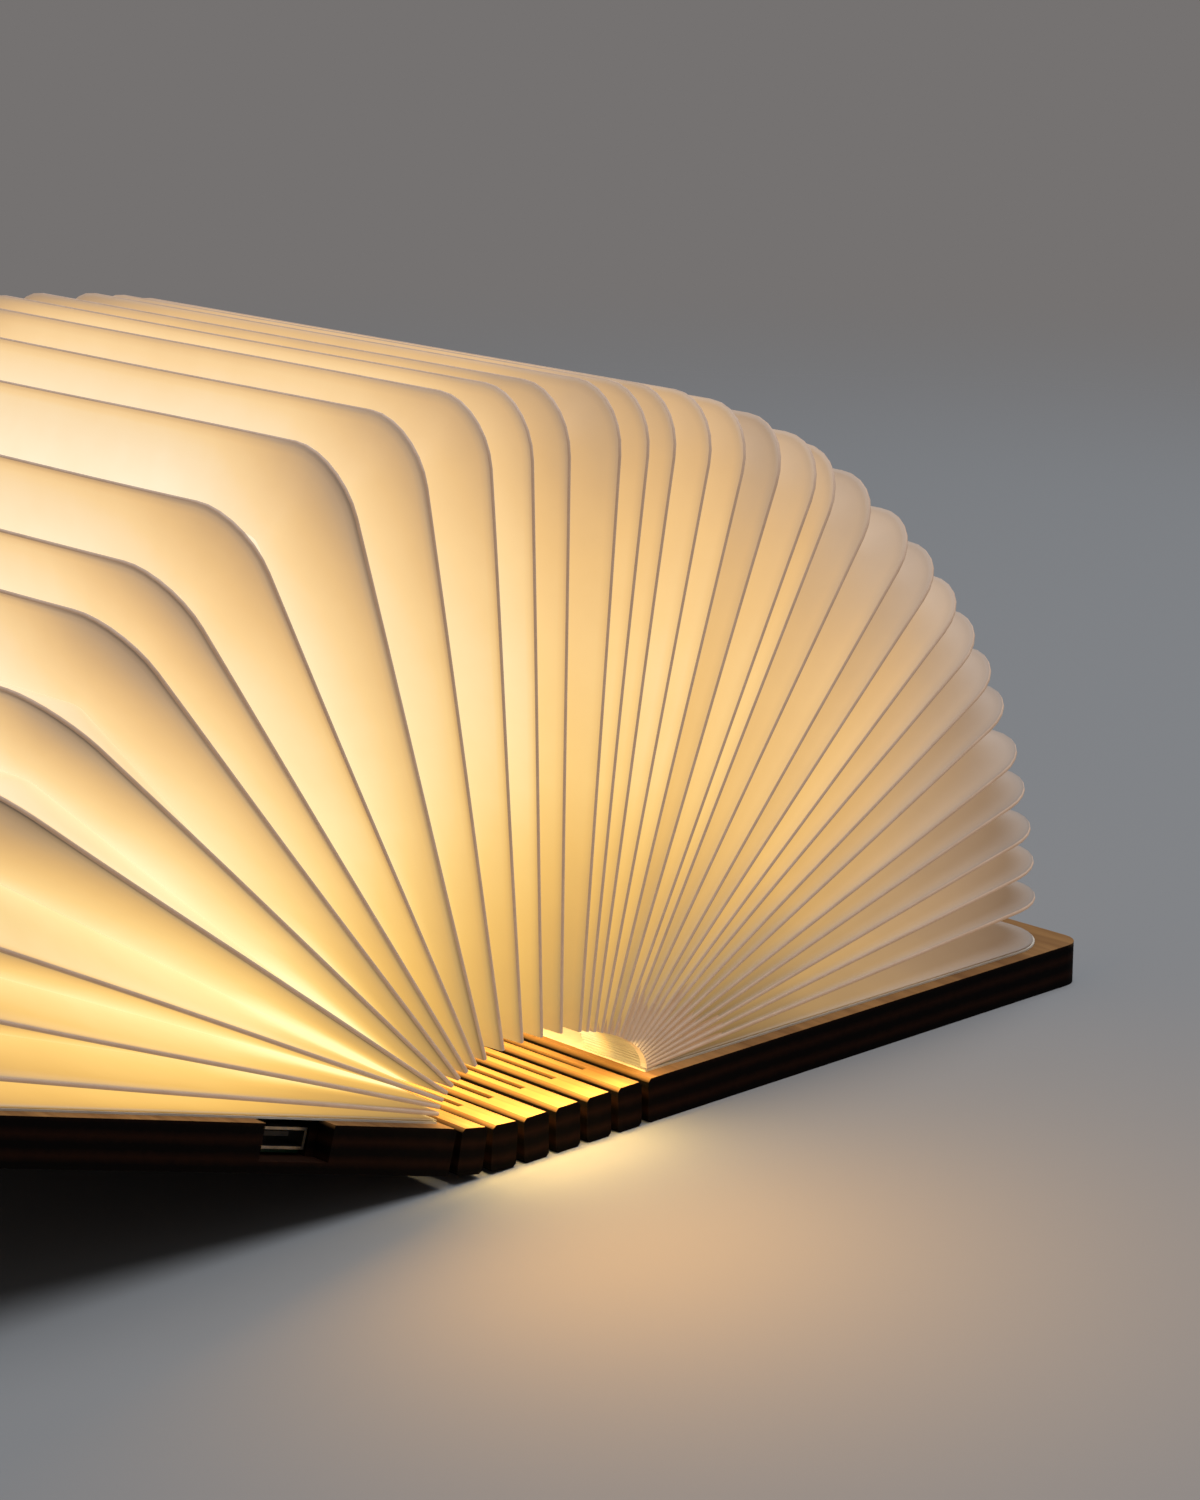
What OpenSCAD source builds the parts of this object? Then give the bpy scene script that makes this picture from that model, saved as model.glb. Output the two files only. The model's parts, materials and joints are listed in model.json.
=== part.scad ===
// Folding book lamp, open on a table as it is used.
// Two plywood covers are joined by a spine that is cut into narrow slats, and a paper bellows
// of three-sided folds opens between the covers like a fan. The right cover lies flat.
// X runs across the covers, Y along the spine away from the end that faces the viewer, Z up.

/* [Plywood] */
// Thickness of the plywood
board_t = 6; // [5.5:0.1:8]
// Length of the covers and of the spine
board_len = 122; // [110:1:200]
// Width of one cover, from the hinge cut to the fore edge
cover_w = 86; // [80:1:140]
// Radius of the covers' corners at the fore edge
corner_r = 3.5; // [1:0.5:8]
// Bevel on the long edges beside each hinge cut
edge_ease = 0.45; // [0.2:0.05:0.8]

/* [Spine] */
// Distance from one hinge cut to the next
slat_pitch = 5.35; // [4.8:0.05:8]
// Width of the hinge cuts
kerf_w = 1.2; // [0.8:0.1:1.6]
// Width of the closed slot in each slat
slot_w = 1; // [0.6:0.1:1.4]
// Whole wood left at each end of a slat's slot
slot_end = 8.4; // [4:0.2:15]
// Length of the wooden bridge in the middle of each hinge cut
bridge_len = 8; // [4:1:14]
// Height of that bridge where it leaves its slat
bridge_h = 3.6; // [2:0.2:4]
// Space from the tip of each half bridge to the hinge line
bridge_gap = 0.05; // [0.03:0.01:0.15]

/* [Bellows] */
// Length of the paper pages along the spine
page_len = 117.6; // [90:0.2:190]
// How far each liner stands out past the pages at the fore edge
page_margin = 0.2; // [0:0.1:1]
// Radius of the pages' outer corners
page_corner_r = 8.5; // [4:0.5:14]
// Radius of the valleys' corners
valley_corner_r = 1; // [0.5:0.5:2]
// Depth of the folds between two page edges
fold_depth = 12; // [8:0.5:16]
// Shift that gives the folded paper its thickness
fold_shift = 0.6; // [0.4:0.1:1]
// Thickness of the glued edge of a page
rib_t = 0.25; // [0.2:0.05:0.3]
// Between a rib and the paper glued on it, so that rounding never sinks one in the other
glue_gap = 0.002; // [0.001:0.001:0.01]
// Width of the glued edge of a page
rib_w = 3; // [2:0.5:5]
// Half width of the arch that the page roots stand on
arch_half_w = 17.6; // [15:0.1:20]
// Height of that arch
arch_h = 7.4; // [5:0.1:10]
// Height of the right foot of the arch above the right cover
arch_foot = 0.5; // [0.4:0.1:1.5]
// How much higher the left foot of the arch stands
arch_rise = 2; // [1.6:0.1:3]
// Distance from the right liner's edge to the right foot of the arch
arch_step = 0.25; // [0.1:0.05:0.6]

/* [Liners] */
// Thickness of the paper glued on each cover
liner_t = 0.25; // [0.15:0.05:0.35]
// Bare wood between the hinge cut and the liner
liner_inner_gap = 1.5; // [1:0.1:3]
// Bare wood between the liner and the fore edge
liner_fore_gap = 2.8; // [1.5:0.1:6]

/* [Light] */
// Width of the strip that carries the lights
led_board_w = 5; // [4:0.5:7]
// Length of that strip
led_board_len = 94; // [60:2:96]
// Distance from the hinge cut to that strip
led_board_s = 3; // [2.6:0.1:4]
// Thickness of both circuit boards
pcb_t = 0.8; // [0.6:0.1:1]
// Number of lights
led_count = 6; // [4:1:8]
// Length of one light
led_len = 3.5; // [2.8:0.1:4]
// Width of one light
led_w = 2.8; // [2:0.1:3]
// Height of one light
led_h = 0.75; // [0.5:0.05:0.9]

/* [Electronics] */
// Depth of the pockets under the left liner
pocket_depth = 4.6; // [4.5:0.1:4.9]
// Space around what lies in a pocket
pocket_gap = 0.4; // [0.2:0.1:0.8]
// Distance from the hinge cut to the middle of the charging socket
usb_s = 25.2; // [20:0.2:30]
// Width of the socket's shell
usb_w = 7.6; // [7.4:0.1:8]
// Height of the socket's shell
usb_h = 2.7; // [2.5:0.1:2.9]
// Length of the socket's shell
usb_len = 5.4; // [4.8:0.1:6]
// Metal thickness of the socket's shell
usb_wall = 0.35; // [0.25:0.05:0.4]
// Width of the recess in the near edge that the plug's grip enters
recess_w = 10.8; // [9.8:0.2:14]
// Depth of that recess behind the near edge
recess_depth = 3; // [2:0.1:4]
// Wood left between that recess and the board
recess_wall = 1.2; // [0.8:0.1:2]
// Width of the charging board
charger_w = 19; // [18:0.5:20]
// Length of the charging board
charger_len = 26; // [24:0.5:28]
// Width of the battery
battery_w = 28; // [20:1:30]
// Length of the battery
battery_len = 48; // [40:1:50]
// Thickness of the battery
battery_t = 3.8; // [3:0.1:4.1]
// Distance from the hinge cut to the battery
battery_s = 12; // [11:0.5:16]
// Distance from the near edge to the battery
battery_y = 44; // [42:0.5:50]
// Space between the battery's round sides and its taped shelf's ends
battery_shelf_gap = 2; // [1:0.5:4]
// Length of the taped shelf where the battery's leads leave it
battery_shelf_len = 2; // [1:0.5:4]
// Thickness of that shelf
battery_shelf_t = 1.6; // [1:0.1:2.5]
// Diameter of one lead over its insulation
lead_d = 1; // [0.8:0.1:1.2]
// Length of a lead that lies on the charging board
lead_on_board = 2; // [1:0.5:3]
// Length of a lead that lies under the strip of lights
lead_under_strip = 1; // [0.5:0.5:2]
// Distance from the charging board's near end to the lights' leads
led_lead_place = 17; // [14:0.5:20]

/* [Parts on the charging board] */
// Place of the chip that drives the lights
driver_place = [3, 9];
// Size of that chip
driver_size = [4, 5, 1.5];
// Place of the inductor's middle
inductor_place = [12.5, 11.5];
// Diameter of the inductor
inductor_d = 5.8; // [4:0.2:6]
// Height of the inductor
inductor_h = 2.6; // [2:0.1:3]
// Places of the capacitors
capacitor_places = [[3, 17], [7, 17], [3, 20], [13, 17]];
// Size of one capacitor
capacitor_size = [2, 1.2, 0.9];
// Distance of the magnetic switch from the board's far corner
hall_inset = [1.5, 3.2];
// Size of the magnetic switch
hall_size = [3, 1.6, 1.1];
// Width of the tongue in the charging socket
tongue_w = 3.8; // [3:0.1:4.5]
// Thickness of that tongue
tongue_t = 0.6; // [0.4:0.1:0.8]
// Distance from the socket's mouth to its tongue
tongue_setback = 1; // [0.5:0.1:2]

/* [Magnets] */
// Diameter of the magnets
magnet_d = 6; // [4:0.5:8]
// Thickness of the magnets
magnet_t = 3; // [2:0.5:4]
// Distance from the fore edge to a magnet's middle
magnet_fore = 7; // [6:0.5:12]
// Distance from the covers' ends to a magnet's middle
magnet_end = 14; // [12:1:20]
// Radial space around a magnet in its bore
magnet_gap = 0.05; // [0.03:0.01:0.1]

/* [Hidden] */
// Bend of each hinge cut in this pose, from the right cover to the left one
rest_bend = [0, 0, 0, 0, 4.5, 6, 5];
slat_count = len(rest_bend) - 1;
hinge_mid = (slat_count + 2) / 2;
smooth = 48;
tiny = 0.01;
overlap = 1;

// Angle of each crest above the right cover: paper never hangs quite evenly
crest_fan = [
    4.5, 8.1, 11.8, 16, 20.1, 25.4, 29.5, 34.2, 38.6, 43.4, 48.3, 54.8, 60.4, 62.7, 67.3, 71.6, 75.6,
    79.5, 82.1, 84.8, 88.9, 91, 93.7, 99.1, 105.3, 114.9, 122.2, 127.1, 134.5, 141.9, 152.3, 157.9, 162.5
];
crest_count = len(crest_fan);
// Place of the crests' roots round the arch, as an angle from its right foot
root_fan = [[1, 0], [13, 38], [20, 70], [25, 124], [crest_count, 176]];
// Every third crest, from this one on, is a rib that swings as one piece
first_rib = 2;
crests_per_rib = 3;
rib_count = 11;
corner_steps = 4;

walnut = "#7b5236";
paper = "#f3e3c4";
metal = "#b9bcc0";
board_green = "#1f5a3a";

// The spine's hinge lines, bent one after another from the right cover to the left one
function hinge_x(k) = (hinge_mid - k) * slat_pitch;
function total_bend(k) = k == 0 ? 0 : rest_bend[k - 1] + total_bend(k - 1);
function turned(p, c, a) = [
    c.x + (p.x - c.x) * cos(a) + (p.y - c.y) * sin(a),
    c.y - (p.x - c.x) * sin(a) + (p.y - c.y) * cos(a)
];
function bent(p, k) = k == 0 ? p
    : bent(turned(p, [hinge_x(k), board_t / 2], rest_bend[k - 1]), k - 1);

last_hinge = len(rest_bend);
right_edge_x = hinge_x(1) + kerf_w / 2;
left_edge_x = hinge_x(last_hinge) - kerf_w / 2;
fore_edge_x = right_edge_x + cover_w;
left_fore_x = min(bent([left_edge_x - cover_w, 0], last_hinge).x,
                  bent([left_edge_x - cover_w, board_t], last_hinge).x);
middle_x = (fore_edge_x + left_fore_x) / 2;
near_y = -board_len / 2;

// Puts a piece drawn in the flat spine, behind hinge cut k, where the bends carry it
module place_piece(k) {
    h = bent([hinge_x(max(k, 1)), board_t / 2], k);
    translate([h.x - middle_x, 0, h.y])
        rotate([0, total_bend(k), 0])
            translate([-hinge_x(max(k, 1)), 0, -board_t / 2])
                children();
}

// Extrudes an outline drawn in X and Z along Y, centred on the middle of the spine
module along_spine(length) {
    rotate([90, 0, 0])
        translate([0, 0, -length / 2])
            linear_extrude(height = length)
                children();
}

// Profile of a slat with its four long edges bevelled
module slat_profile(left_x, right_x) {
    e = edge_ease;
    polygon([
        [left_x + e, 0], [right_x - e, 0], [right_x, e], [right_x, board_t - e],
        [right_x - e, board_t], [left_x + e, board_t], [left_x, board_t - e], [left_x, e]
    ]);
}

// Half of a hinge cut's wooden bridge: a wedge from the slat's side towards the hinge line
module half_bridge(hinge, side) {
    face = hinge + side * kerf_w / 2;
    tip = hinge + side * bridge_gap;
    along_spine(bridge_len)
        polygon([
            [face, board_t / 2 - bridge_h / 2],
            [face, board_t / 2 + bridge_h / 2],
            [tip, board_t / 2]
        ]);
}

module spine_slat(k) {
    right_x = hinge_x(k) - kerf_w / 2;
    left_x = hinge_x(k + 1) + kerf_w / 2;
    color(walnut)
        place_piece(k)
            difference() {
                union() {
                    along_spine(board_len) slat_profile(left_x, right_x);
                    half_bridge(hinge_x(k), -1);
                    half_bridge(hinge_x(k + 1), 1);
                }
                translate([(left_x + right_x - slot_w) / 2, near_y + slot_end, -overlap])
                    cube([slot_w, board_len - 2 * slot_end, board_t + 2 * overlap]);
            }
}

// Outline of a cover or liner: square corners at the spine, round ones at the fore edge
module cover_outline(width, length, radius) {
    translate([0, -length / 2])
        square([width - radius, length]);
    translate([0, radius - length / 2])
        square([width, length - 2 * radius]);
    for (side = [-1, 1])
        translate([width - radius, side * (length / 2 - radius)])
            circle(r = radius, $fn = smooth);
}

// Plain cover, drawn from its hinge cut towards +X
module cover_board() {
    difference() {
        linear_extrude(height = board_t)
            cover_outline(cover_w, board_len, corner_r);
        for (z = [0, board_t])
            translate([0, 0, z])
                rotate([0, 45, 0])
                    cube([edge_ease * sqrt(2), board_len + 2 * overlap, edge_ease * sqrt(2)],
                         center = true);
    }
}

// Blind bores that hold magnets flush with a cover's inner face
module magnet_bores(places) {
    for (p = places)
        translate([p.x, p.y, board_t - magnet_t - tiny])
            cylinder(r = magnet_d / 2 + magnet_gap, h = magnet_t + overlap, $fn = smooth);
}

module magnets(places) {
    for (p = places)
        translate([p.x, p.y, board_t - magnet_t])
            cylinder(d = magnet_d, h = magnet_t, $fn = smooth);
}

corner_magnets = [for (side = [-1, 1]) [cover_w - magnet_fore, side * (board_len / 2 - magnet_end)]];

// Places in the left cover, measured from its hinge cut and from the middle of the spine
recess_y = near_y + recess_depth;
charger_y = recess_y + recess_wall + pocket_gap;
charger_s = usb_s - charger_w / 2;
battery_near_y = near_y + battery_y;
hall_place = [charger_s + charger_w - hall_inset.x - hall_size.x / 2,
              charger_y + charger_len - hall_inset.y - hall_size.y / 2];
floor_z = board_t - pocket_depth;
chip_z = floor_z + pcb_t;
led_floor_z = board_t - pcb_t;
cut_depth = pocket_depth + overlap;
lead_gauge = 2 * lead_d;
lead_clear = 0.1;
battery_lead_run = battery_near_y - charger_y - charger_len;
led_lead_run = charger_s - led_board_s - led_board_w;
led_channel_s = led_board_s + led_board_w - lead_under_strip - pocket_gap;
led_lead_y = charger_y + led_lead_place;

module right_cover() {
    color(walnut)
        place_piece(0)
            union() {
                translate([right_edge_x, 0, 0])
                    difference() {
                        cover_board();
                        magnet_bores(concat(corner_magnets, [hall_place]));
                    }
                half_bridge(hinge_x(1), 1);
            }
}

// Draws children in the left cover's own directions: s away from the spine, z from its outer face
module in_left_cover() {
    place_piece(last_hinge)
        translate([left_edge_x, 0, 0])
            mirror([1, 0, 0])
                children();
}

module pocket(s, y, width, length, depth) {
    translate([s - pocket_gap, y - pocket_gap, board_t - depth])
        cube([width + 2 * pocket_gap, length + 2 * pocket_gap, depth + overlap]);
}

module left_cover() {
    color(walnut) {
        in_left_cover()
            difference() {
                cover_board();
                magnet_bores(corner_magnets);
                pocket(charger_s, charger_y, charger_w, charger_len, pocket_depth);
                pocket(battery_s, battery_near_y, battery_w, battery_len, pocket_depth);
                pocket(led_board_s, -led_board_len / 2, led_board_w, led_board_len, pcb_t);
                // Recess for the plug's grip, and the slot that the socket looks out through
                translate([usb_s - recess_w / 2, near_y - overlap, floor_z])
                    cube([recess_w, recess_depth + overlap, cut_depth]);
                translate([usb_s - usb_w / 2 - pocket_gap, recess_y - overlap, floor_z])
                    cube([usb_w + 2 * pocket_gap, recess_wall + 2 * overlap, cut_depth]);
                // Channels for the leads
                translate([usb_s - lead_gauge - pocket_gap, charger_y + charger_len - overlap, floor_z])
                    cube([2 * (lead_gauge + pocket_gap), battery_lead_run + 2 * overlap, cut_depth]);
                translate([led_channel_s, led_lead_y - lead_gauge, floor_z])
                    cube([charger_s + overlap - led_channel_s, 2 * lead_gauge, cut_depth]);
            }
        place_piece(last_hinge)
            half_bridge(hinge_x(last_hinge), -1);
    }
}

// Paper sheet glued on a cover's inner face, drawn from the cover's hinge cut
liner_w = cover_w - liner_inner_gap - liner_fore_gap;
page_w = liner_w - page_margin;
module liner_sheet() {
    translate([liner_inner_gap, 0, board_t])
        linear_extrude(height = liner_t)
            cover_outline(liner_w, page_len, page_corner_r);
}

module right_liner() {
    color(paper)
        place_piece(0)
            translate([right_edge_x, 0, 0])
                liner_sheet();
}

module left_liner() {
    color(paper)
        in_left_cover()
            difference() {
                liner_sheet();
                // Window over the lights
                translate([led_board_s - pocket_gap, -led_board_len / 2 - pocket_gap, board_t - overlap])
                    cube([led_board_w + 2 * pocket_gap, led_board_len + 2 * pocket_gap, 2 * overlap]);
            }
}

// The bellows: each crest is a line through its root on the arch, at its own angle,
// and the first and the last folded sheet are glued on the liners
arch_middle_x = right_edge_x + liner_inner_gap + arch_step - arch_half_w;
arch_z = board_t + arch_foot;
right_foot = [right_edge_x + liner_inner_gap, board_t + liner_t];
left_foot = bent([left_edge_x - liner_inner_gap, board_t + liner_t], last_hinge);
glued_angles = concat([0], crest_fan, [180 - total_bend(last_hinge)]);
glued_fan = [for (i = [0:crest_count + 1]) [i, glued_angles[i]]];
function crest_angle(i) = lookup(i, glued_fan);
function arch_point(i) = let (p = lookup(i, root_fan)) [
    arch_middle_x + arch_half_w * cos(p),
    arch_z + arch_h * sin(p) + arch_rise * (1 - cos(p)) / 2
];
function between(p, q, part) = p + (q - p) * part;
function crest_root(i) =
    i < 1 ? between(right_foot, arch_point(1), i)
    : i > crest_count ? between(arch_point(crest_count), left_foot, i - crest_count)
    : arch_point(i);

// Three-sided outline of a page, from its near root round the fore edge to its far root,
// drawn in on all three sides
function page_outline(inset) =
    let (
        y = page_len / 2 - inset,
        w = page_w - inset,
        r = max(page_corner_r - inset, valley_corner_r)
    )
    concat(
        [[0, -y]],
        [for (n = [0:corner_steps]) let (a = 90 * n / corner_steps)
            [w - r + r * sin(a), -y + r - r * cos(a)]],
        [for (n = [0:corner_steps]) let (a = 90 * n / corner_steps)
            [w - r + r * cos(a), y - r + r * sin(a)]],
        [[0, y]]
    );

// Points of an outline on the line from root p at angle a, moved square to it by lift
function on_line(outline, p, a, lift) = [
    for (q = outline) [
        p.x - middle_x + q.x * cos(a) - lift * sin(a),
        q.y,
        p.y + q.x * sin(a) + lift * cos(a)
    ]
];

// Crests and valleys in turn, in half steps: whole numbers are crests, halves are valleys
function fold_line(i, shift, lift) =
    let (valley = i != floor(i))
    on_line(page_outline((valley ? fold_depth : 0) + shift),
            crest_root(i), crest_angle(i), lift);

// Folded paper from crest a to crest b, as one closed surface
module paper_fold(a, b, first_lift, last_lift) {
    steps = 2 * (b - a);
    rows = [for (shift = [0, fold_shift]) for (n = [0:steps])
        fold_line(a + n / 2, shift, n == 0 ? first_lift : n == steps ? last_lift : 0)];
    m = len(rows[0]);
    inner = steps + 1;
    function at(row, k) = row * m + k;
    faces = concat(
        [for (n = [0:steps - 1]) for (k = [0:m - 2]) each [
            [at(n, k), at(n, k + 1), at(n + 1, k + 1)],
            [at(n, k), at(n + 1, k + 1), at(n + 1, k)],
            [at(inner + n, k), at(inner + n + 1, k + 1), at(inner + n, k + 1)],
            [at(inner + n, k), at(inner + n + 1, k), at(inner + n + 1, k + 1)]
        ]],
        [for (k = [0:m - 2]) each [
            [at(0, k), at(inner, k), at(inner, k + 1)],
            [at(0, k), at(inner, k + 1), at(0, k + 1)],
            [at(steps, k), at(steps, k + 1), at(inner + steps, k + 1)],
            [at(steps, k), at(inner + steps, k + 1), at(inner + steps, k)]
        ]],
        [for (n = [0:steps - 1]) each [
            [at(n, 0), at(n + 1, 0), at(inner + n + 1, 0)],
            [at(n, 0), at(inner + n + 1, 0), at(inner + n, 0)],
            [at(n, m - 1), at(inner + n, m - 1), at(inner + n + 1, m - 1)],
            [at(n, m - 1), at(inner + n + 1, m - 1), at(n + 1, m - 1)]
        ]]
    );
    color(paper)
        polyhedron(points = [for (row = rows) each row], faces = faces);
}

// Glued edge of a page: a flat three-sided band round the outline
module paper_rib(i) {
    p = crest_root(i);
    color(paper)
        translate([p.x - middle_x, 0, p.y])
            rotate([0, -crest_angle(i), 0])
                translate([0, 0, -rib_t / 2])
                    linear_extrude(height = rib_t)
                        difference() {
                            cover_outline(page_w, page_len, page_corner_r);
                            translate([-tiny, 0])
                                cover_outline(page_w - rib_w + tiny, page_len - 2 * rib_w,
                                              page_corner_r - rib_w);
                        }
}

function rib_crest(k) = first_rib + (k - 1) * crests_per_rib;

// What lies in the left cover
module led_board() {
    color("white")
        in_left_cover()
            translate([led_board_s, -led_board_len / 2, led_floor_z])
                cube([led_board_w, led_board_len, pcb_t]);
}

module leds() {
    pitch = led_board_len / led_count;
    color("#ffe9a8")
        in_left_cover()
            for (n = [0:led_count - 1])
                translate([led_board_s + (led_board_w - led_w) / 2,
                           (n + 0.5) * pitch - (led_board_len + led_len) / 2, board_t])
                    cube([led_w, led_len, led_h]);
}

module charger_board() {
    color(board_green)
        in_left_cover()
            translate([charger_s, charger_y, floor_z])
                cube([charger_w, charger_len, pcb_t]);
}

// Draws a chip's body on the charging board
module on_charger(place, size) {
    in_left_cover()
        translate([charger_s + place.x, charger_y + place.y, chip_z])
            cube(size);
}

module driver_chip() {
    color("#222222")
        on_charger(driver_place, driver_size);
}

module inductor() {
    color("#555555")
        in_left_cover()
            translate([charger_s + inductor_place.x, charger_y + inductor_place.y, chip_z])
                cylinder(d = inductor_d, h = inductor_h, $fn = smooth);
}

module board_capacitors() {
    color("#a08a60")
        for (place = capacitor_places)
            on_charger(place, capacitor_size);
}

module hall_switch() {
    color("#222222")
        on_charger([charger_w, charger_len] - hall_inset - [hall_size.x, hall_size.y], hall_size);
}

module usb_socket() {
    color(metal)
        in_left_cover()
            translate([usb_s - usb_w / 2, recess_y, chip_z])
                difference() {
                    cube([usb_w, usb_len, usb_h]);
                    translate([usb_wall, -overlap, usb_wall])
                        cube([usb_w - 2 * usb_wall, usb_len + overlap - usb_wall,
                              usb_h - 2 * usb_wall]);
                }
}

module usb_tongue() {
    color("#1a1a1a")
        in_left_cover()
            translate([usb_s - tongue_w / 2, recess_y + tongue_setback, chip_z + usb_h / 2])
                cube([tongue_w, usb_len - usb_wall - tongue_setback, tongue_t]);
}

// Pouch cell with round sides, and the taped shelf where its leads leave
module battery() {
    r = battery_t / 2;
    color("#8d99a6")
        in_left_cover()
            translate([battery_s, battery_near_y + battery_shelf_len, floor_z]) {
                rotate([90, 0, 0])
                    translate([0, 0, battery_shelf_len - battery_len])
                        linear_extrude(height = battery_len - battery_shelf_len) {
                            translate([r, 0])
                                square([battery_w - 2 * r, battery_t]);
                            for (x = [r, battery_w - r])
                                translate([x, r])
                                    circle(r = r, $fn = smooth);
                        }
                translate([battery_shelf_gap, -battery_shelf_len, 0])
                    cube([battery_w - 2 * battery_shelf_gap, battery_shelf_len + tiny,
                          battery_shelf_t]);
            }
}

module battery_leads() {
    color("#b03030")
        in_left_cover()
            for (side = [-1, 1])
                translate([usb_s + side * lead_d, charger_y + charger_len - lead_on_board,
                           chip_z + lead_d / 2])
                    rotate([-90, 0, 0])
                        cylinder(d = lead_d, h = battery_lead_run + lead_on_board, $fn = smooth);
}

// Two leads that fall from the underside of the strip to the top of the charging board
module led_leads() {
    run = led_lead_run + lead_under_strip + lead_on_board;
    fall = led_floor_z - chip_z - lead_d - 2 * lead_clear;
    color("#b03030")
        in_left_cover()
            for (side = [-1, 1])
                translate([led_board_s + led_board_w - lead_under_strip, led_lead_y + side * lead_d,
                           led_floor_z - lead_d / 2 - lead_clear])
                    rotate([0, 90 + atan2(fall, run), 0])
                        cylinder(d = lead_d, h = norm([run, fall]), $fn = smooth);
}

module left_magnets() {
    color(metal)
        in_left_cover()
            magnets(corner_magnets);
}

module right_magnets() {
    color(metal)
        place_piece(0)
            translate([right_edge_x, 0, 0])
                magnets(corner_magnets);
}

// Wakes the switch on the charging board when the lamp closes on it
module sense_magnet() {
    color(metal)
        place_piece(0)
            translate([right_edge_x, 0, 0])
                magnets([hall_place]);
}

right_cover();
left_cover();
for (k = [1:slat_count])
    spine_slat(k);
right_liner();
left_liner();
for (k = [1:rib_count])
    paper_rib(rib_crest(k));
for (k = [1:rib_count + 1])
    paper_fold(
            k == 1 ? 0 : rib_crest(k - 1),
            k > rib_count ? crest_count + 1 : rib_crest(k),
            k == 1 ? 0 : rib_t / 2 + glue_gap,
            k > rib_count ? 0 : -rib_t / 2 - glue_gap
        );
led_board();
leds();
charger_board();
driver_chip();
inductor();
board_capacitors();
hall_switch();
usb_socket();
usb_tongue();
battery();
battery_leads();
led_leads();
left_magnets();
right_magnets();
sense_magnet();
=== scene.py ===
"""Folding book lamp: paper bellows, walnut covers and spine, lights and stage."""

import json
import math
import random

import bpy
from mathutils import Matrix, Vector


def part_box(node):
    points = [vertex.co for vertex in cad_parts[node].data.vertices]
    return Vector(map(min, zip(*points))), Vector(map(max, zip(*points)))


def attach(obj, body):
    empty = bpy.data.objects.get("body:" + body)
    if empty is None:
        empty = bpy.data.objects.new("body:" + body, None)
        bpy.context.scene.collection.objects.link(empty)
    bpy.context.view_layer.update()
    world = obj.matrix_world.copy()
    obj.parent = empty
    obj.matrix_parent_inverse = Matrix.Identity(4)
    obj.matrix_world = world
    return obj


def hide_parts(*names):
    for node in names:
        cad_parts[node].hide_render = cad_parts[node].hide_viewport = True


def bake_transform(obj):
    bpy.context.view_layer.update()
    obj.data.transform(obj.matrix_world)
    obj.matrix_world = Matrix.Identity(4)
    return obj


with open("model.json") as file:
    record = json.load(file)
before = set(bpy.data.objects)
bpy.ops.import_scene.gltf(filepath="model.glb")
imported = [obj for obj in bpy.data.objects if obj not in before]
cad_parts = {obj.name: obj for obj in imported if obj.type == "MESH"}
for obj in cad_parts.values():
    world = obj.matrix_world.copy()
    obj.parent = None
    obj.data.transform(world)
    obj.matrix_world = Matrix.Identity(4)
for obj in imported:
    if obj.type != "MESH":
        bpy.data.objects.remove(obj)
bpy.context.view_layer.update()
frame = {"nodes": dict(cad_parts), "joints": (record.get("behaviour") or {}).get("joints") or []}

bl_info = {
    "name": "Folding book lamp",
    "version": (1, 0, 0),
    "blender": (4, 5, 0),
    "location": "3D View > Sidebar > Book lamp",
    "description": "Builds the paper, wood, light and stage of a folding book lamp",
    "category": "Object",
}

MM = 0.001

# Angle of each crest of the bellows above the right cover, in degrees, and its root's place on the arch
CREST_ANGLES = (
    0, 4.5, 8.1, 11.8, 16, 20.1, 25.4, 29.5, 34.2, 38.6, 43.4, 48.3, 54.8, 60.4, 62.7, 67.3, 71.6,
    75.6, 79.5, 82.1, 84.8, 88.9, 91, 93.7, 99.1, 105.3, 114.9, 122.2, 127.1, 134.5, 141.9, 152.3,
    157.9, 162.5, 164.5,
)
ROOT_FAN = ((1, 0), (13, 38), (20, 70), (25, 124), (33, 176))
CREST_COUNT = 33
FIRST_RIB = 2
CRESTS_PER_RIB = 3
RIB_COUNT = 11
REST_BENDS = (0, 0, 0, 0, 4.5, 6, 5)
VALLEY_CORNER = 1 * MM
ARCH_HALF_W = 17.6 * MM
ARCH_H = 7.4 * MM
ARCH_RISE = 2 * MM
ARCH_STEP = 0.25 * MM
ARCH_FOOT = 0.25 * MM

LEG_STEPS = 16
CORNER_STEPS = 7
FORE_STEPS = 20
WALL_SHARES = (0, 0.05, 0.12, 0.22, 0.34, 0.48, 0.62, 0.75, 0.87, 0.95, 1)
PLEAT_INSET = 0.1 * MM
SEAM_ROUND = 0.12 * MM
SEAM_SHARP = math.radians(50)
# Waves along a crest, and how much one pleat's glow differs from the next
WAVE_TURNS = (1.5, 2.7, 4.1)
WAVE_SEED = 7
SHADE = 0.03
SHADE_SEED = 11
# How much more height counts than nearness where the liner's corner is picked
HEIGHT_WEIGHT = 4

# Shares of a board's thickness, out from its middle plane, over which veneer and the pale arris of painted
# light set in
VENEER_SPAN = (0.42, 0.48)
LIT_ARRIS_SPAN = (0.4, 0.5)
# How squarely a face has to lie in its board's plane to be veneer
FLAT_SPAN = (0.75, 0.97)

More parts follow.
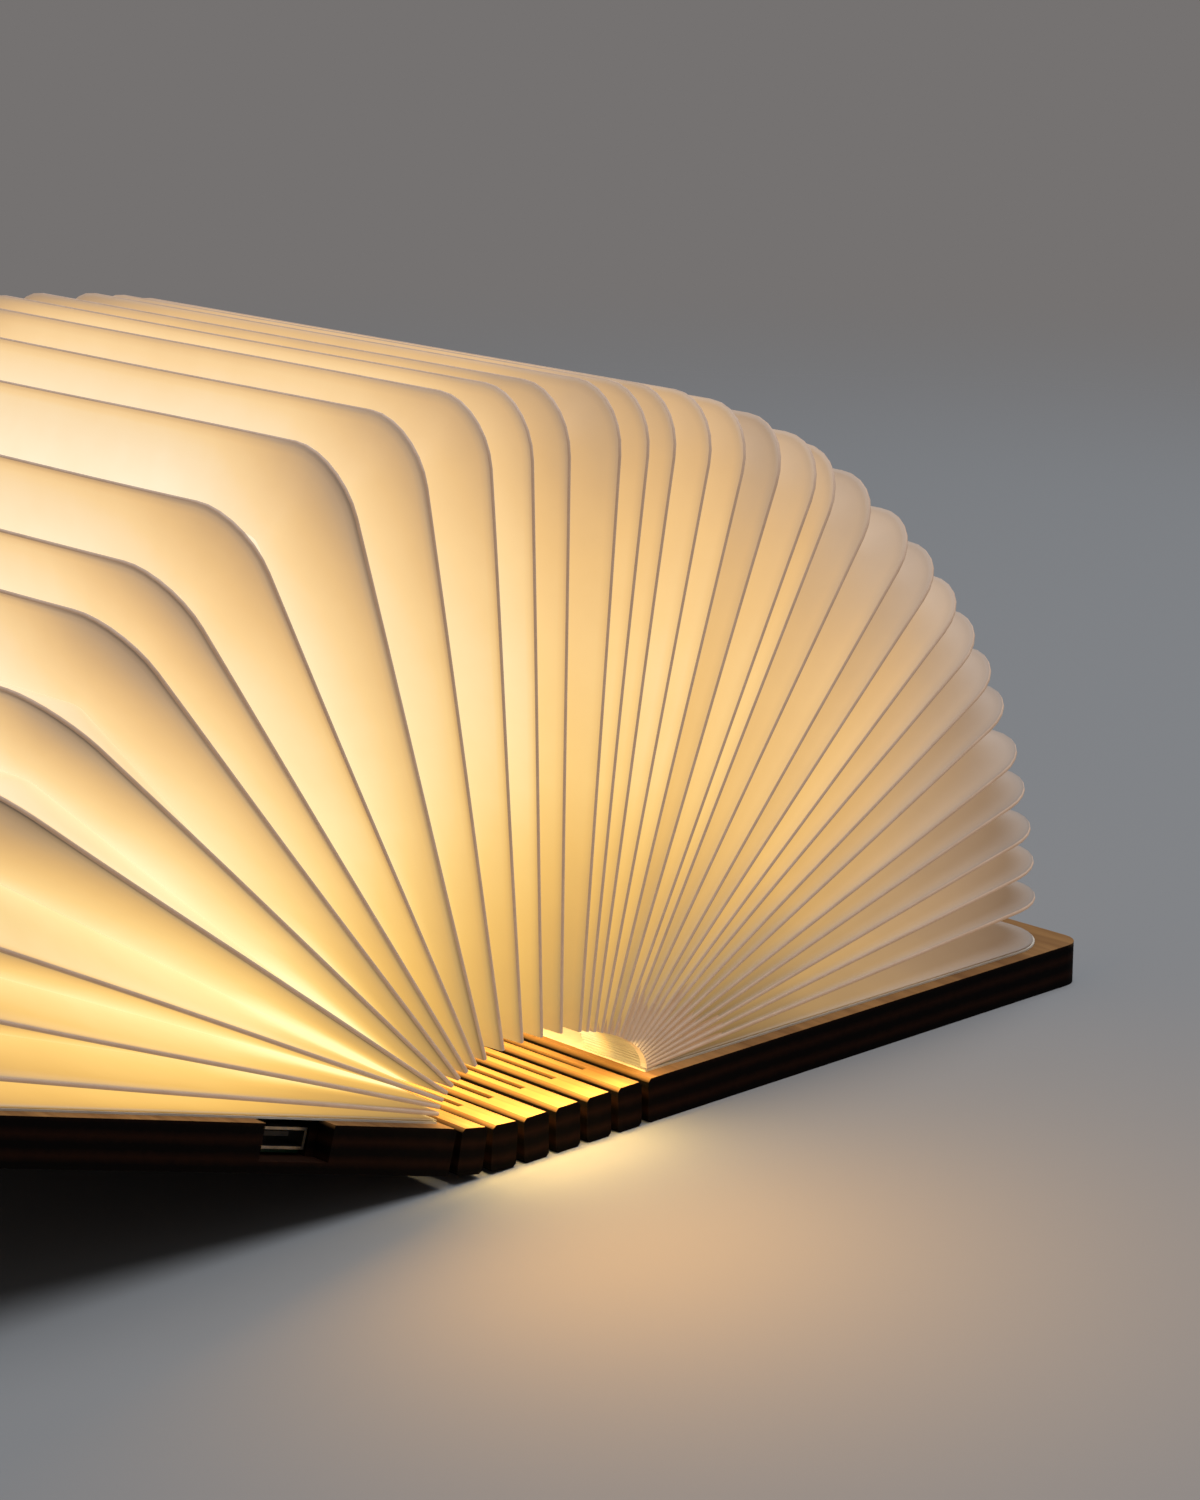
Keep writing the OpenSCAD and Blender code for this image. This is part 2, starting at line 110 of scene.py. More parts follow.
CAMERA_PLACE = (-0.30763, -0.39593, 0.17239)
CAMERA_YAW = math.radians(43.193)
CAMERA_PITCH = math.radians(14.8)
CAMERA_ROLL = math.radians(0.105)
SENSOR_W = 36
SOFTBOX_PLACE = (0.35, -0.25, 1.3)
SOFTBOX_SIZE = 1.2
SOFTBOX_POWER = 17
WORLD_STRENGTH = 0.13
FLOOR_SIDES = 96
FLOOR_FADE = (0.5, 0.95)
GLOW_SPREAD = math.radians(170)
INSIDE_COLOUR = (1, 0.66, 0.2)
SPILLED_COLOUR = (1, 0.46, 0.05)


def srgb(red, green, blue):
    """Linear colour of an sRGB colour in 0 to 255."""
    def linear(c):
        c = c / 255
        return c / 12.92 if c <= 0.04045 else ((c + 0.055) / 1.055) ** 2.4
    return (linear(red), linear(green), linear(blue), 1)


def lookup(table, at):
    """Value of a table of pairs at a place, straight between its rows."""
    if at <= table[0][0]:
        return table[0][1]
    for (x0, y0), (x1, y1) in zip(table, table[1:]):
        if at <= x1:
            return y0 + (y1 - y0) * (at - x0) / (x1 - x0)
    return table[-1][1]


LINER_LOW, LINER_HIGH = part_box("right_liner")
LINER_W = LINER_HIGH.x - LINER_LOW.x
LINER_LEN = LINER_HIGH.y - LINER_LOW.y
TOTAL_BEND = math.radians(sum(REST_BENDS))
BOARD_LOW, BOARD_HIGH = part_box("right_cover")
BOARD_T = BOARD_HIGH.z - BOARD_LOW.z
HINGES = {j["name"]: j for j in frame["joints"]}


class LampPaperSizes(bpy.types.PropertyGroup):
    page_margin: bpy.props.FloatProperty(
        name="Page margin", description="How far the pages end short of the liner",
        default=0.2 * MM, unit="LENGTH")
    corner_r: bpy.props.FloatProperty(
        name="Page corner", description="Radius of a page's two fore corners",
        default=8.5 * MM, unit="LENGTH")
    fold_depth: bpy.props.FloatProperty(
        name="Fold depth", description="From a crest in to the valleys beside it",
        default=12 * MM, unit="LENGTH")
    paper_t: bpy.props.FloatProperty(
        name="Paper thickness", description="Thickness of one sheet",
        default=0.14 * MM, unit="LENGTH")
    seam_t: bpy.props.FloatProperty(
        name="Seam thickness", description="Two glued sheets, measured across a crest",
        default=0.55 * MM, unit="LENGTH")
    seam_w: bpy.props.FloatProperty(
        name="Seam width", description="Depth of the glued edge",
        default=1.1 * MM, unit="LENGTH")
    fullness: bpy.props.FloatProperty(
        name="Fullness", description="How roundly a sheet leaves the seam: 0 is a flat fold",
        default=0.65, min=0, max=1, subtype="FACTOR")
    waviness: bpy.props.FloatProperty(
        name="Waviness", description="How far a crest strays from a straight line",
        default=0.25 * MM, unit="LENGTH")
    glow: bpy.props.FloatProperty(
        name="Glow", description="Brightness of the lit paper", default=1, min=0)
    paper_colour: bpy.props.FloatVectorProperty(
        name="Paper", description="Colour of the paper under daylight", size=4,
        default=srgb(124, 123, 123), subtype="COLOR")
    seam_colour: bpy.props.FloatVectorProperty(
        name="Seam", description="Colour of the glued crests", size=4,
        default=srgb(160, 150, 142), subtype="COLOR")


class LampWoodSizes(bpy.types.PropertyGroup):
    veneer: bpy.props.FloatVectorProperty(
        name="Veneer", description="Walnut face", size=4,
        default=srgb(148, 111, 70), subtype="COLOR")
    veneer_dark: bpy.props.FloatVectorProperty(
        name="Veneer grain", description="Dark grain of the walnut face", size=4,
        default=srgb(106, 74, 46), subtype="COLOR")
    # The cut edges' colours are the browning of the cut, darkened further as painted shade
    edge: bpy.props.FloatVectorProperty(
        name="Cut edge", description="Browned plies on a cut edge", size=4,
        default=srgb(34, 15, 6), subtype="COLOR")
    darkest_burn_and_shade: bpy.props.FloatVectorProperty(
        name="Burnt ply", description="Darkest plies on a cut edge", size=4,
        default=srgb(5, 2, 1), subtype="COLOR")
    ply_t: bpy.props.FloatProperty(
        name="Ply thickness", description="Thickness of one ply",
        default=1.2 * MM, unit="LENGTH")


class LampStageSizes(bpy.types.PropertyGroup):
    floor_colour: bpy.props.FloatVectorProperty(
        name="Floor", description="Plain floor", size=4, default=srgb(137, 138, 140), subtype="COLOR")
    background: bpy.props.FloatVectorProperty(
        name="Background", description="Plain background", size=4,
        default=srgb(117, 114, 113), subtype="COLOR")
    lens: bpy.props.FloatProperty(
        name="Lens", description="Focal length of the camera", default=92.55)
    floor_r: bpy.props.FloatProperty(
        name="Floor radius", description="Where the floor has faded into the background",
        default=0.8, unit="LENGTH")


def node(tree, kind, **values):
    """New shader node, with its settings and the values of its inputs by name."""
    made = tree.nodes.new(kind)
    for name, value in values.items():
        if name in made.inputs:
            made.inputs[name].default_value = value
        else:
            setattr(made, name, value)
    return made


def new_material(name, roughness=0.6, metallic=0.0, specular=0.5):
    """Material with one Principled shader, and its tree."""
    material = bpy.data.materials.new(name)
    material.use_nodes = True
    tree = material.node_tree
    shader = tree.nodes["Principled BSDF"]
    shader.inputs["Roughness"].default_value = roughness
    shader.inputs["Metallic"].default_value = metallic
    shader.inputs["Specular IOR Level"].default_value = specular
    return material, tree, shader


def calc(tree, operation, first, second=None):
    """Result of a math node, whose inputs are outputs or numbers."""
    made = node(tree, "ShaderNodeMath", operation=operation)
    for place, value in enumerate((first, second)):
        if isinstance(value, (int, float)):
            made.inputs[place].default_value = value
        elif value is not None:
            tree.links.new(value, made.inputs[place])
    return made.outputs["Value"]


def fade(tree, value, low, high, kind="LINEAR"):
    """Runs from 0 to 1 as a value goes from low to high."""
    made = node(tree, "ShaderNodeMapRange", interpolation_type=kind)
    made.inputs["From Min"].default_value = low
    made.inputs["From Max"].default_value = high
    tree.links.new(value, made.inputs["Value"])
    return made.outputs["Result"]


def noise(tree, place, **values):
    """Noise over a place, with the values of its inputs by name."""
    made = node(tree, "ShaderNodeTexNoise", **values)
    tree.links.new(place, made.inputs["Vector"])
    return made.outputs["Fac"]


def mixed_value(tree, share, first, second):
    """Value between two values."""
    made = node(tree, "ShaderNodeMix", data_type="FLOAT")
    made.inputs["Factor"].default_value = share
    tree.links.new(first, made.inputs["A"])
    tree.links.new(second, made.inputs["B"])
    return made.outputs["Result"]


def ramped(tree, value, stops):
    """Colour of a value on a ramp with stops of (place, colour)."""
    ramp = tree.nodes.new("ShaderNodeValToRGB")
    while len(ramp.color_ramp.elements) < len(stops):
        ramp.color_ramp.elements.new(0.5)
    for element, (place, colour) in zip(ramp.color_ramp.elements, stops):
        element.position = place
        element.color = colour
    tree.links.new(value, ramp.inputs["Fac"])
    return ramp.outputs["Color"]


def facing(tree, place, direction):
    """How squarely a surface faces along a direction or against it."""
    dot = node(tree, "ShaderNodeVectorMath", operation="DOT_PRODUCT")
    dot.inputs[1].default_value = direction
    tree.links.new(place.outputs["Normal"], dot.inputs[0])
    return calc(tree, "ABSOLUTE", dot.outputs["Value"])


def add_bump(tree, shader, height, distance, strength=0.4):
    """Fine bump of a shader, from a height."""
    bump = node(tree, "ShaderNodeBump", Strength=strength, Distance=distance)
    tree.links.new(height, bump.inputs["Height"])
    tree.links.new(bump.outputs["Normal"], shader.inputs["Normal"])


def speckled(name, light, dark, scale, roughness=0.6, metallic=0.0, bump=0.00005, stretch=(1, 1, 1)):
    """Material whose colour wanders between two shades, with a fine bump."""
    material, tree, shader = new_material(name, roughness, metallic)
    place = node(tree, "ShaderNodeTexCoord")
    scaled = node(tree, "ShaderNodeMapping", Scale=stretch)
    tree.links.new(place.outputs["Object"], scaled.inputs["Vector"])
    specks = noise(tree, scaled.outputs["Vector"], Scale=scale, Detail=4.0, Roughness=0.6)
    tree.links.new(ramped(tree, specks, ((0.35, dark), (0.65, light))), shader.inputs["Base Color"])
    add_bump(tree, shader, specks, bump)
    return material


def new_piece(name, points, faces, material):
    """Smooth mesh object in the shared frame, with its material."""
    mesh = bpy.data.meshes.new(name)
    mesh.from_pydata(points, [], faces)
    mesh.update()
    mesh.shade_smooth()
    mesh.materials.append(material)
    piece = bpy.data.objects.new(name, mesh)
    bpy.context.scene.collection.objects.link(piece)
    return piece


def dress(names, material):
    """Gives CAD nodes a material."""
    for name in names:
        mesh = frame["nodes"][name].data
        mesh.materials.clear()
        mesh.materials.append(material)


# The bellows

def crest_angle(i):
    """Angle of a crest, or of a valley between two, above the right cover."""
    low = min(int(math.floor(i)), CREST_COUNT)
    share = i - low
    return math.radians(CREST_ANGLES[low] * (1 - share) + CREST_ANGLES[low + 1] * share)


def arch_point(i):
    """Place of a crest's root on the arch over the spine, as x and z."""
    turn = math.radians(lookup(ROOT_FAN, i))
    middle = LINER_LOW.x + ARCH_STEP - ARCH_HALF_W
    return Vector((
        middle + ARCH_HALF_W * math.cos(turn),
        LINER_HIGH.z + ARCH_FOOT + ARCH_H * math.sin(turn) + ARCH_RISE * (1 - math.cos(turn)) / 2,
    ))


RIGHT_FOOT = Vector((LINER_LOW.x, LINER_HIGH.z))


def left_foot():
    """Corner of the left liner nearest the spine, on its upper face."""
    def rank(p):
        inward = -p.x * math.cos(TOTAL_BEND) + p.z * math.sin(TOTAL_BEND)
        height = p.x * math.sin(TOTAL_BEND) + p.z * math.cos(TOTAL_BEND)
        return inward - HEIGHT_WEIGHT * height
    corner = min((vertex.co for vertex in frame["nodes"]["left_liner"].data.vertices), key=rank)
    return Vector((corner.x, corner.z))


LEFT_FOOT = left_foot()


def crest_root(i):
    """Root of a crest or valley, from the right cover's over the arch to the left cover's."""
    if i < 1:
        return RIGHT_FOOT.lerp(arch_point(1), i)
    if i > CREST_COUNT:
        return arch_point(CREST_COUNT).lerp(LEFT_FOOT, i - CREST_COUNT)
    return arch_point(i)


def page_outline(inset, sizes):
    """Outline of a page from its near root round the fore edge to its far root, drawn in on three sides."""
    half = LINER_LEN / 2 - inset
    width = LINER_W - sizes.page_margin - inset
    r = max(sizes.corner_r - inset, VALLEY_CORNER)
    near = [((width - r) * n / LEG_STEPS, -half) for n in range(LEG_STEPS)]
    for n in range(CORNER_STEPS + 1):
        a = math.pi / 2 * n / CORNER_STEPS
        near.append((width - r + r * math.sin(a), -half + r - r * math.cos(a)))
    fore = [(width, (half - r) * (2 * n / FORE_STEPS - 1)) for n in range(1, FORE_STEPS)]
    far = [(x, -y) for x, y in reversed(near)]
    return near + fore + far


def crest_waves(sizes):
    """How far a crest strays from its plane, by the crest and the place along its outline."""
    source = random.Random(WAVE_SEED)
    waves = []
    for _ in range(CREST_COUNT + 2):
        waves.append([(source.uniform(0.4, 1), source.uniform(0, math.tau), turns) for turns in WAVE_TURNS])

    def stray(i, share):
        if i <= 0 or i > CREST_COUNT:
            return 0
        shape = sum(size * math.sin(math.tau * turns * share + start) for size, start, turns in waves[i])
        return sizes.waviness * shape * math.sin(math.pi * share) / 2
    return stray


def on_line(points, i, lift):
    """Points of an outline in the plane of crest or valley i, moved square to it by lift."""
    root = crest_root(i)
    a = crest_angle(i)
    placed = []
    for n, (along, y) in enumerate(points):
        up = lift(n) if callable(lift) else lift
        placed.append(Vector((
            root.x + along * math.cos(a) - up * math.sin(a),
            y,
            root.y + along * math.sin(a) + up * math.cos(a),
        )))
    return placed


# How bright the paper's painted light looks, by the angle of its crest: beside the seam, deep in the fold, at
# the fore edge
SEAM_GLOW = ((0, 0.62), (15, 0.65), (25, 0.73), (45, 0.84), (85, 0.87), (95, 0.85), (105, 0.68), (115, 0.79),
             (123, 0.66), (135, 0.57), (145, 0.55), (156, 0.73), (165, 0.70))
DEEP_GLOW = ((0, 0.60), (25, 0.71), (60, 0.78), (85, 0.84), (95, 0.97), (115, 0.98), (125, 0.93), (155, 0.95),
             (165, 0.84))
FORE_GLOW = ((0, 0.62), (60, 0.74), (105, 0.81), (125, 0.77), (165, 0.72))
FORE_SPAN = (-8 * MM, 20 * MM)
TURNED_SPAN = (148, 164)
DEEPENING = 0.4
# The root is darker out at the page's end, and brighter inside the tunnel over the spine
ROOT_LOSS = 0.18
ROOT_SHARE = 0.4
TUNNEL_GAIN = 2.2
END_DEPTH = 9 * MM
# Less glow far out, right beside a seam, and round a fore corner
OUTER_LOSS = 0.02
OUTER_SPAN = (0.5, 0.75)
SEAM_LOSS = 0.05
SEAM_SPAN = (0, 0.1)
CORNER_LOSS = 0.17
TURNED_CORNER_LOSS = 0.06
CORNER_REACH = 18 * MM
# The painted warmer light near the root reaches farther out on the low crests at the left
LIGHT_TINT_SPAN = (125, 160)
LIGHT_TINT_LOSS = 0.6
ROOT_LIGHT_TINT = (1, 0.94, 0.54, 1)
# How far the glow wanders over one sheet
UNEVEN = 0.02


def ease(low, high, at):
    """Smooth step from 0 at low to 1 at high."""
    t = min(max((at - low) / (high - low), 0), 1)
    return t * t * (3 - 2 * t)


def glow_at(i, along, y, share, turned):
    """How bright the paper's painted light looks, from 0 to 1; turned is for a wall seen from its other side.
    """
    from_end = LINER_LEN / 2 - abs(y)
    from_fore = LINER_W - along
    reach = along / LINER_W
    angle = math.degrees(crest_angle(i))
    at_fore = ease(*FORE_SPAN, from_end - from_fore)
    low = lookup(SEAM_GLOW, angle)
    low += (lookup(FORE_GLOW, angle) - low) * at_fore
    high = lookup(DEEP_GLOW, angle)
    corner_loss = CORNER_LOSS
    if turned:
        low += (high - low) * (1 - ease(*TURNED_SPAN, angle))
        corner_loss = TURNED_CORNER_LOSS
    glow = low + (high - low) * share ** DEEPENING
    inside = 1 - TUNNEL_GAIN * ease(END_DEPTH / 2, END_DEPTH, from_end)
    glow -= ROOT_LOSS * max(0, 1 - reach / ROOT_SHARE) * inside
    glow -= OUTER_LOSS * ease(*OUTER_SPAN, reach) * (1 - at_fore)
    glow -= SEAM_LOSS * (1 - ease(*SEAM_SPAN, share))
    from_corner = math.hypot(from_fore, from_end) / CORNER_REACH
    glow -= corner_loss * math.exp(-(from_corner ** 2)) * (1 - 0.5 * share)
    return glow


def light_tint_reach(i, along):
    """How far out along a page a point counts for the painted warm light, from 0 at the root."""
    shortened = 1 - LIGHT_TINT_LOSS * ease(*LIGHT_TINT_SPAN, math.degrees(crest_angle(i)))
    return along / LINER_W * shortened


def strip_faces(rows, columns, closed=False):
    """Quads of a grid of rows, one after another."""
    faces = []
    last = rows if closed else rows - 1
    for row in range(last):
        after = (row + 1) % rows
        for k in range(columns - 1):
            faces.append((row * columns + k, row * columns + k + 1,
                          after * columns + k + 1, after * columns + k))
    return faces


def fold_of(i):
    """Number of the CAD fold that holds the valley after a crest."""
    return 1 if i < FIRST_RIB else (i - FIRST_RIB) // CRESTS_PER_RIB + 2


def rib_of(i):
    """The rib a crest belongs to, or None."""
    k, rest = divmod(i - FIRST_RIB, CRESTS_PER_RIB)
    return k + 1 if rest == 0 and 0 <= k < RIB_COUNT else None


def join_fold(piece):
    """Bakes a fold's placement into its mesh."""
    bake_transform(piece)


class LAMP_OT_paper_pleats(bpy.types.Operator):
    """Folded paper between the crests, one V for each valley"""
    bl_idname = "lamp.paper_pleats"
    bl_label = "Paper pleats"

    def execute(self, context):
        sizes = context.scene.lamp_paper
        paper = lit_paper(sizes)
        stray = crest_waves(sizes)
        shares = list(WALL_SHARES) + list(reversed(WALL_SHARES[:-1]))
        outlines = {share: page_outline(share * sizes.fold_depth + PLEAT_INSET * (1 - share), sizes)
                    for share in WALL_SHARES}
        columns = len(outlines[0])
        half_seam = sizes.seam_t / 2 - sizes.paper_t / 2
        source = random.Random(SHADE_SEED)
        shade = [source.uniform(-SHADE, SHADE) for _ in range(CREST_COUNT + 1)]
        for i in range(CREST_COUNT + 1):
            points, glow, reach = [], [], []
            for row, share in enumerate(shares):
                first = row < len(WALL_SHARES)
                crest = i if first else i + 1
                side = 1 if first else -1
                outline = outlines[share]

                def lift(n):
                    place = n / (columns - 1)
                    return side * half_seam * (1 - share) + stray(crest, place) * (1 - share)
                at_crest = on_line(outline, crest, lift)
                at_valley = on_line(outline, i + 0.5, 0)
                toward = share + (ease(0, 1, share) - share) * sizes.fullness
                for p, q, (along, y) in zip(at_crest, at_valley, outline):
                    points.append(p.lerp(q, toward))
                    glow.append(glow_at(crest, along, y, share, not first) + shade[i])
                    reach.append(light_tint_reach(crest, along))
            piece = new_piece(f"paper_pleat_{i + 1}", points, strip_faces(len(shares), columns), paper)
            for name, values in (("glow", glow), ("reach", reach)):
                piece.data.attributes.new(name, "FLOAT", "POINT").data.foreach_set("value", values)
            sheet = piece.modifiers.new("Sheet", "SOLIDIFY")
            sheet.thickness = sizes.paper_t
            sheet.offset = 0
            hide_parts(f"paper_fold_{fold_of(i)}")
            join_fold(piece)
        return {"FINISHED"}


class LAMP_OT_paper_seams(bpy.types.Operator):
    """Glued edges of the crests, a thin band round each page"""
    bl_idname = "lamp.paper_seams"
    bl_label = "Paper seams"

    def execute(self, context):
        sizes = context.scene.lamp_paper
        glued = seam_paper(sizes)
        stray = crest_waves(sizes)
        half = sizes.seam_t / 2
        ring = ((SEAM_ROUND, half), (0, half * 0.5), (0, -half * 0.5), (SEAM_ROUND, -half),
                (sizes.seam_w, -half), (sizes.seam_w, half))
        for i in range(1, CREST_COUNT + 1):
            points = []
            for inset, lift in ring:
                outline = page_outline(inset, sizes)
                columns = len(outline)

                def lifted(n):
                    return lift + stray(i, n / (columns - 1))
                points += on_line(outline, i, lifted)
            faces = strip_faces(len(ring), columns, closed=True)
            faces.append([row * columns for row in reversed(range(len(ring)))])
            faces.append([row * columns + columns - 1 for row in range(len(ring))])
            piece = new_piece(f"paper_seam_{i}", points, faces, glued)
            piece.data.set_sharp_from_angle(angle=SEAM_SHARP)
            rib = rib_of(i)
            if rib:
                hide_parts(f"paper_rib_{rib}")
                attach(piece, f"rib_{rib}")
            else:
                hold_share(piece)
        return {"FINISHED"}


def hold_share(piece):
    """Bakes a seam's placement into its mesh."""
    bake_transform(piece)


def lit_paper(sizes):
    """White paper with painted light: the glow of each point, stored on the mesh, is emission that stands in
    for the lamp's light through the paper.
    """
    material, tree, shader = new_material("lit_paper", roughness=0.75, specular=0.2)
    links = tree.links
    stored = node(tree, "ShaderNodeAttribute", attribute_name="glow")
    place = node(tree, "ShaderNodeTexCoord")
    uneven = node(tree, "ShaderNodeMapRange")
    uneven.inputs["To Min"].default_value = -UNEVEN
    uneven.inputs["To Max"].default_value = UNEVEN
    cloud = noise(tree, place.outputs["Object"], Scale=90.0, Detail=3.0, Roughness=0.6)
    links.new(cloud, uneven.inputs["Value"])
    total = calc(tree, "ADD", stored.outputs["Fac"], uneven.outputs["Result"])
    light = ramped(tree, total, (
        (0.3, srgb(36, 28, 20)), (0.49, srgb(118, 94, 72)), (0.576, srgb(146, 119, 93)),
        (0.647, srgb(172, 140, 105)), (0.725, srgb(203, 162, 109)), (0.784, srgb(223, 180, 119)),
        (0.843, srgb(238, 198, 138)), (0.898, srgb(242, 214, 170)), (0.933, srgb(244, 226, 190)),
        (1.0, srgb(247, 240, 220)),
    ))
    # Painted light: the glow is warmer near the root, by the reach stored on the mesh
    reach = node(tree, "ShaderNodeAttribute", attribute_name="reach")
    near_root = calc(tree, "SUBTRACT", 1.0, fade(tree, reach.outputs["Fac"], 0, 1, "SMOOTHSTEP"))
    warm = node(tree, "ShaderNodeMix", data_type="RGBA", blend_type="MULTIPLY")
    warm.inputs["B"].default_value = ROOT_LIGHT_TINT
    links.new(near_root, warm.inputs["Factor"])
    links.new(light, warm.inputs["A"])
    links.new(warm.outputs["Result"], shader.inputs["Emission Color"])
    shader.inputs["Emission Strength"].default_value = sizes.glow
    shader.inputs["Base Color"].default_value = sizes.paper_colour
    fibre = noise(tree, place.outputs["Object"], Scale=700.0, Detail=5.0, Roughness=0.7)
    add_bump(tree, shader, fibre, 0.00004, 0.3)
    return material


def seam_paper(sizes):
    """Glued double paper, which holds most of the light back; its emission is a painted glow for the light
    that still passes through.
    """
    dark = [c * 0.8 for c in sizes.seam_colour[:3]] + [1]
    material = speckled("seam_paper", tuple(sizes.seam_colour), dark, 300.0, 0.8, bump=0.00003)
    shader = material.node_tree.nodes["Principled BSDF"]
    # Painted light: a dim warm glow of the seam
    shader.inputs["Emission Color"].default_value = srgb(132, 100, 71)
    shader.inputs["Emission Strength"].default_value = sizes.glow
    return material


# Wood

def board_material(name, wood, origin, bend):
    """Walnut plywood of a board whose middle plane passes origin and is bent up by an angle."""
    material, tree, shader = new_material(name, roughness=0.75, specular=0.06)
    links = tree.links
    place = node(tree, "ShaderNodeTexCoord")
    local = node(tree, "ShaderNodeMapping", vector_type="TEXTURE")
    local.inputs["Location"].default_value = origin
    local.inputs["Rotation"].default_value = (0, bend, 0)
    links.new(place.outputs["Object"], local.inputs["Vector"])

    along_grain = node(tree, "ShaderNodeMapping", Scale=(1.0, 0.06, 1.0))
    links.new(local.outputs["Vector"], along_grain.inputs["Vector"])
    stretched = along_grain.outputs["Vector"]
    parts = node(tree, "ShaderNodeSeparateXYZ")
    links.new(local.outputs["Vector"], parts.inputs["Vector"])
    height = parts.outputs["Z"]

    broad = noise(tree, stretched, Scale=60.0, Detail=3.0)
    fine = noise(tree, stretched, Scale=420.0, Detail=6.0, Roughness=0.65, Distortion=0.6)
    grain = mixed_value(tree, 0.4, fine, broad)
    veneer = ramped(tree, grain, ((0.36, tuple(wood.veneer_dark)), (0.62, tuple(wood.veneer))))
    # Cut edges: browned plies, darkened further as painted shade
    burn_and_shade_colour = ramped(tree, plies(tree, wood, stretched, height, broad),
                   ((0.35, tuple(wood.darkest_burn_and_shade)), (0.8, tuple(wood.edge))))

    mixed = node(tree, "ShaderNodeMix", data_type="RGBA")
    links.new(veneered(tree, place, height, bend), mixed.inputs["Factor"])
    links.new(burn_and_shade_colour, mixed.inputs["A"])
    links.new(veneer, mixed.inputs["B"])
    links.new(mixed.outputs["Result"], shader.inputs["Base Color"])
    add_bump(tree, shader, grain, 0.00008, 0.5)
    return material


def plies(tree, wood, stretched, height, broad):
    """Layers of the plywood on a cut edge, dark to light, wandering with the broad grain."""
    wander = node(tree, "ShaderNodeMath", operation="MULTIPLY_ADD")
    wander.inputs[1].default_value = 0.35
    tree.links.new(broad, wander.inputs[0])
    tree.links.new(calc(tree, "MULTIPLY", height, 1 / wood.ply_t), wander.inputs[2])
    bands = calc(tree, "PINGPONG", wander.outputs["Value"], 1.0)
    rough = noise(tree, stretched, Scale=900.0, Detail=4.0)
    return mixed_value(tree, 0.35, bands, rough)


def veneered(tree, place, height, bend):
    """1 on a board's two faces and on the upper arris of the walls of its cuts, where the pale veneer is
    painted light from above; 0 on its other edges.
    """
    level = fade(tree, facing(tree, place, (math.sin(bend), 0, math.cos(bend))), *FLAT_SPAN)
    outer = fade(tree, calc(tree, "ABSOLUTE", height), *(share * BOARD_T for share in VENEER_SPAN))
    sideways = facing(tree, place, (math.cos(bend), 0, -math.sin(bend)))
    # Painted light: the upper arris of a cut wall gets the pale veneer, as if lit from above
    arris = fade(tree, height, *(share * BOARD_T for share in LIT_ARRIS_SPAN), "SMOOTHSTEP")
    is_face = calc(tree, "MULTIPLY", level, outer)
    painted_light_wall = calc(tree, "MULTIPLY", sideways, arris)
    return calc(tree, "MAXIMUM", is_face, painted_light_wall)


class LAMP_OT_wood(bpy.types.Operator):
    """Walnut covers and spine, with browned plies on every cut edge, darkened further as painted shade"""
    bl_idname = "lamp.wood"
    bl_label = "Wood"

    def execute(self, context):
        wood = context.scene.lamp_wood
        middle = (BOARD_LOW.z + BOARD_HIGH.z) / 2
        bend = 0
        dress(["right_cover"], board_material("right_board", wood, (0, 0, middle), 0))
        names = [f"slat_{k}" for k in range(1, len(REST_BENDS))] + ["left_cover"]
        for name, step in zip(names, REST_BENDS):
            bend += math.radians(step)
            hinge = HINGES[f"{name}_hinge"]["pos_m"]
            board = "left_cover" if name == "left_cover" else f"spine_{name}"
            dress([board], board_material(f"{name}_board", wood, tuple(hinge), bend))
        return {"FINISHED"}


class LAMP_OT_liners(bpy.types.Operator):
    """Paper liners on the covers' inner faces"""
    bl_idname = "lamp.liners"
    bl_label = "Liners"

    def execute(self, context):
        liner = speckled("liner_sheet", srgb(205, 196, 184), srgb(188, 178, 164), 260.0, 0.8)
        dress(["right_liner", "left_liner"], liner)
        return {"FINISHED"}


# Material of each small part, its nodes, light and dark shade, scale of the specks, roughness and metallic
SMALL_PARTS = (
    ("white_board", ("led_board",), (226, 226, 220), (206, 205, 198), 500.0, 0.4, 0.0),
    ("green_board", ("charger_board",), (32, 92, 60), (20, 66, 42), 700.0, 0.35, 0.0),
    ("black_plastic", ("driver_chip", "hall_switch", "usb_tongue"),
     (34, 34, 36), (20, 20, 22), 900.0, 0.5, 0.0),
    ("dark_metal", ("inductor",), (86, 84, 82), (56, 54, 52), 800.0, 0.45, 0.7),
    ("ceramic_chip", ("board_capacitors",), (176, 150, 112), (150, 124, 88), 900.0, 0.5, 0.0),
    ("battery_foil", ("battery",), (170, 174, 178), (140, 144, 150), 300.0, 0.35, 0.8),
    ("lead_insulation", ("battery_leads", "led_leads"),
     (172, 36, 32), (140, 24, 22), 600.0, 0.45, 0.0),
    ("magnet_nickel", ("left_magnets", "right_magnets", "sense_magnet"),
     (200, 196, 188), (170, 166, 158), 700.0, 0.25, 1.0),
)


class LAMP_OT_electrics(bpy.types.Operator):
    """Lights, charging board, socket, battery, leads and magnets"""
    bl_idname = "lamp.electrics"
    bl_label = "Electrics"

    def execute(self, context):
        for name, nodes, light, dark, scale, roughness, metallic in SMALL_PARTS:
            dress(nodes, speckled(name, srgb(*light), srgb(*dark), scale, roughness, metallic))
        steel = speckled("socket_steel", srgb(150, 148, 145), srgb(118, 116, 112), 500.0, 0.3, 1.0,
                         stretch=(1, 0.1, 1))
        dress(["usb_socket"], steel)
        light = speckled("light_chip", srgb(255, 226, 150), srgb(250, 206, 110), 900.0, 0.4)
        shader = light.node_tree.nodes["Principled BSDF"]
        shader.inputs["Emission Color"].default_value = srgb(255, 214, 130)
        shader.inputs["Emission Strength"].default_value = 3.0
        dress(["leds"], light)
        return {"FINISHED"}


